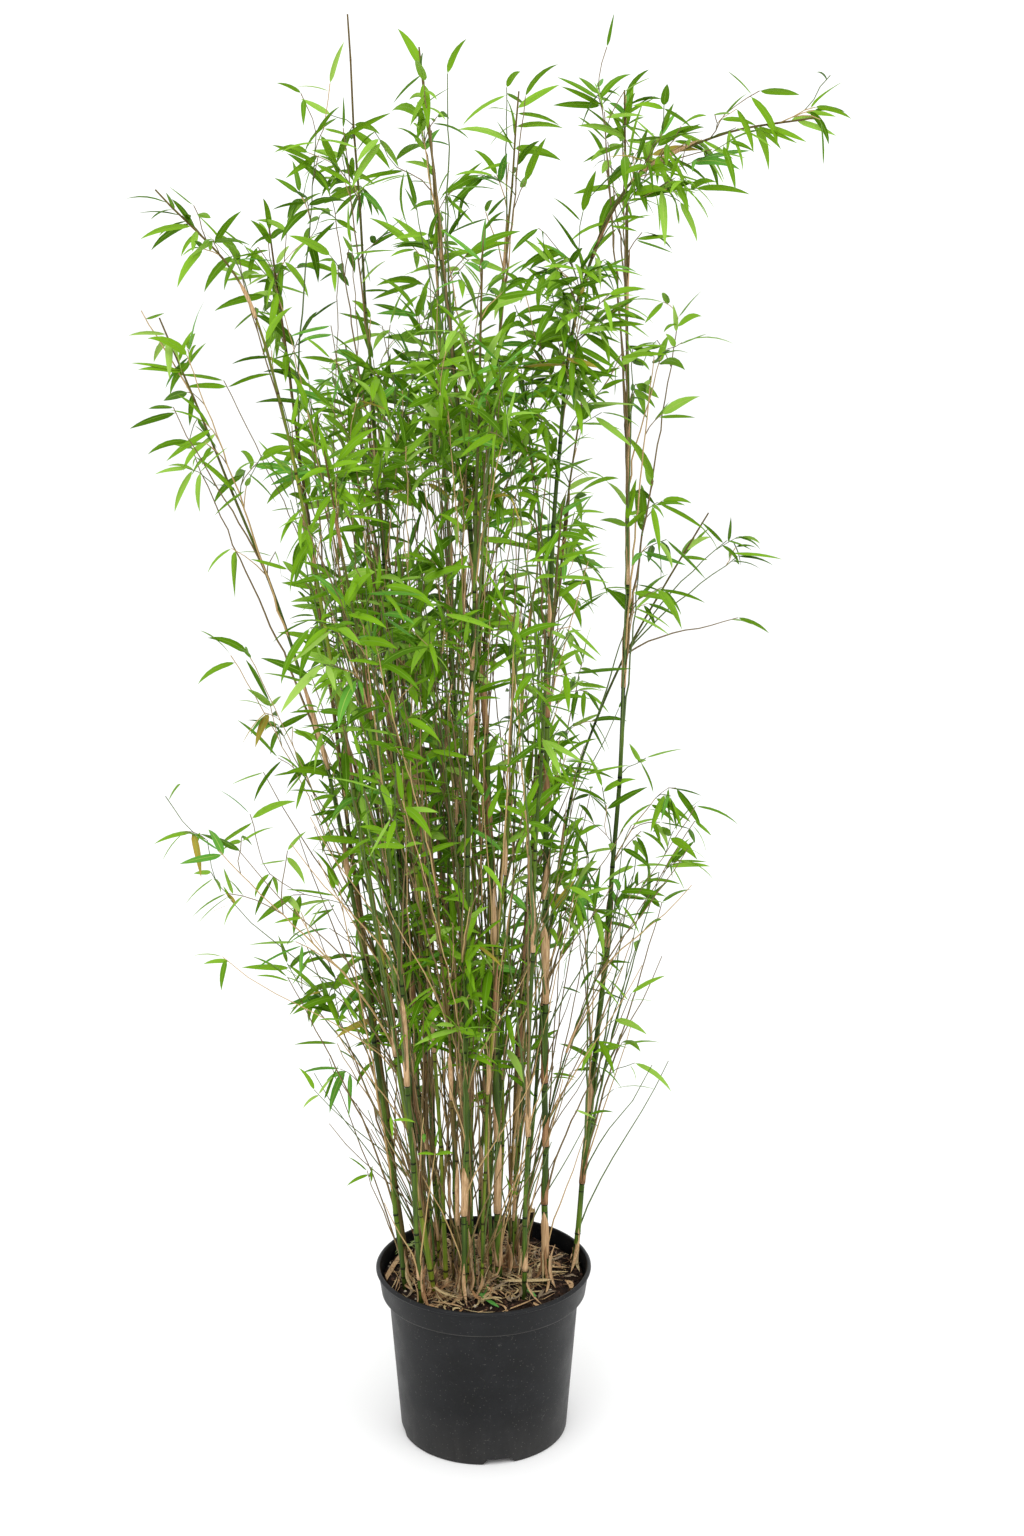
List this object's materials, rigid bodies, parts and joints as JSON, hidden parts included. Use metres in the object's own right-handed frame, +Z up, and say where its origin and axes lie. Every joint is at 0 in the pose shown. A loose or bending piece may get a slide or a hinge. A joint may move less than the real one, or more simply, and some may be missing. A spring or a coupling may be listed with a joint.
{
  "type": "potted clump-forming bamboo",
  "caption": "Tall narrow-leaved bamboo clump in a round black nursery pot, with slender upright and arching culms and loose plumes of foliage.",
  "frame": {"origin": "centre of the pot's flat underside", "axes": "+Z up, away from the pot's underside; -Y is the front of the plant, +X its right as seen from the front"},
  "size_m": [0.8084, 0.619, 1.7831],
  "materials": {
    "pot": "matte moulded polypropylene, charcoal, slightly scuffed and dusty",
    "compost": "dark crumbly potting compost under dry straw and fallen sheaths",
    "culm": "smooth green bamboo culm with ringed nodes and papery tan sheaths",
    "foliage": "thin lance-shaped leaves, mid green with a soft sheen"
  },
  "bodies": {
    "root": {"culm_arch_left": "culm", "culm_arch_right": "culm", "culm_arch_right_top": "culm", "culm_back_high": "culm", "culm_back_left": "culm", "culm_back_right": "culm", "culm_back_tall": "culm", "culm_front_high": "culm", "culm_front_left": "culm", "culm_front_right": "culm", "culm_inner_front": "culm", "culm_inner_left": "culm", "culm_inner_middle": "culm", "culm_left_outer": "culm", "culm_red_brown": "culm", "culm_right_outer": "culm", "culm_right_reach": "culm", "culm_sheathed": "culm", "culm_tall_bare": "culm", "foliage_arch_left_tip": "foliage", "foliage_arch_right_high": "foliage", "foliage_arch_right_low": "foliage", "foliage_arch_right_tip": "foliage", "foliage_back_high": "foliage", "foliage_back_left": "foliage", "foliage_back_reach": "foliage", "foliage_back_right": "foliage", "foliage_back_tall_top": "foliage", "foliage_front_high": "foliage", "foliage_front_left": "foliage", "foliage_front_right": "foliage", "foliage_heart_1_a": "foliage", "foliage_heart_1_b": "foliage", "foliage_heart_1_c": "foliage", "foliage_heart_2_a": "foliage", "foliage_heart_2_b": "foliage", "foliage_heart_2_c": "foliage", "foliage_heart_3_a": "foliage", "foliage_heart_3_b": "foliage", "foliage_heart_3_c": "foliage", "foliage_heart_4_a": "foliage", "foliage_heart_4_b": "foliage", "foliage_heart_4_c": "foliage", "foliage_left_low": "foliage", "foliage_left_low_reach": "foliage", "foliage_left_middle": "foliage", "foliage_left_upper": "foliage", "foliage_red_brown_top": "foliage", "foliage_right_inner_high": "foliage", "foliage_right_inner_low": "foliage", "foliage_right_low": "foliage", "foliage_right_low_sprig": "foliage", "foliage_right_middle": "foliage", "foliage_right_outer_top": "foliage", "foliage_right_reach": "foliage", "foliage_right_upper": "foliage", "foliage_sheathed_top": "foliage", "foliage_tall_bare_top": "foliage", "pot": "pot", "soil": "compost"}
  },
  "joints": []
}
